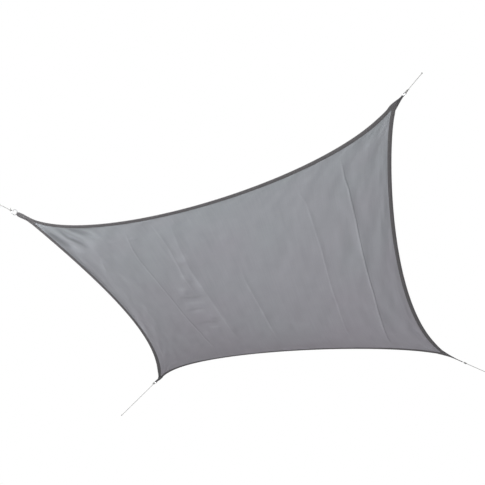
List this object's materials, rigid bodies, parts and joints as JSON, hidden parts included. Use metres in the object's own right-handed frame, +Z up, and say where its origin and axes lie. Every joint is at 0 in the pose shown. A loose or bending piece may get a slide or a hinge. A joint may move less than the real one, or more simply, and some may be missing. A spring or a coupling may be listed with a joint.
{
  "type": "shade sail",
  "caption": "Square knitted shade sail with curved-in webbing edges and corner straps, rings and taut ropes, pulled tight with opposite corners high and low.",
  "frame": {"origin": "centre of the front right corner's ring, the highest corner, which holds the sail up with the other three", "axes": "+X along the front edge from left to right, +Y from the front edge to the back edge, +Z up"},
  "size_m": [4.8701, 4.584, 2.0707],
  "materials": {
    "sail_knit": "matte grey knitted shade cloth",
    "edge_webbing": "matte dark grey woven webbing",
    "ring_steel": "polished stainless steel",
    "rope_fibre": "light grey twisted rope"
  },
  "bodies": {
    "root": {"sail_cloth": "sail_knit", "webbing_front": "edge_webbing", "webbing_right": "edge_webbing", "webbing_back": "edge_webbing", "webbing_left": "edge_webbing", "strap_front_left": "edge_webbing", "ring_front_left": "ring_steel", "hitch_front_left": "rope_fibre", "rope_front_left": "rope_fibre", "end_knot_front_left": "rope_fibre", "strap_front_right": "edge_webbing", "ring_front_right": "ring_steel", "hitch_front_right": "rope_fibre", "rope_front_right": "rope_fibre", "end_knot_front_right": "rope_fibre", "strap_back_right": "edge_webbing", "ring_back_right": "ring_steel", "hitch_back_right": "rope_fibre", "rope_back_right": "rope_fibre", "end_knot_back_right": "rope_fibre", "strap_back_left": "edge_webbing", "ring_back_left": "ring_steel", "hitch_back_left": "rope_fibre", "rope_back_left": "rope_fibre", "end_knot_back_left": "rope_fibre"}
  },
  "joints": []
}
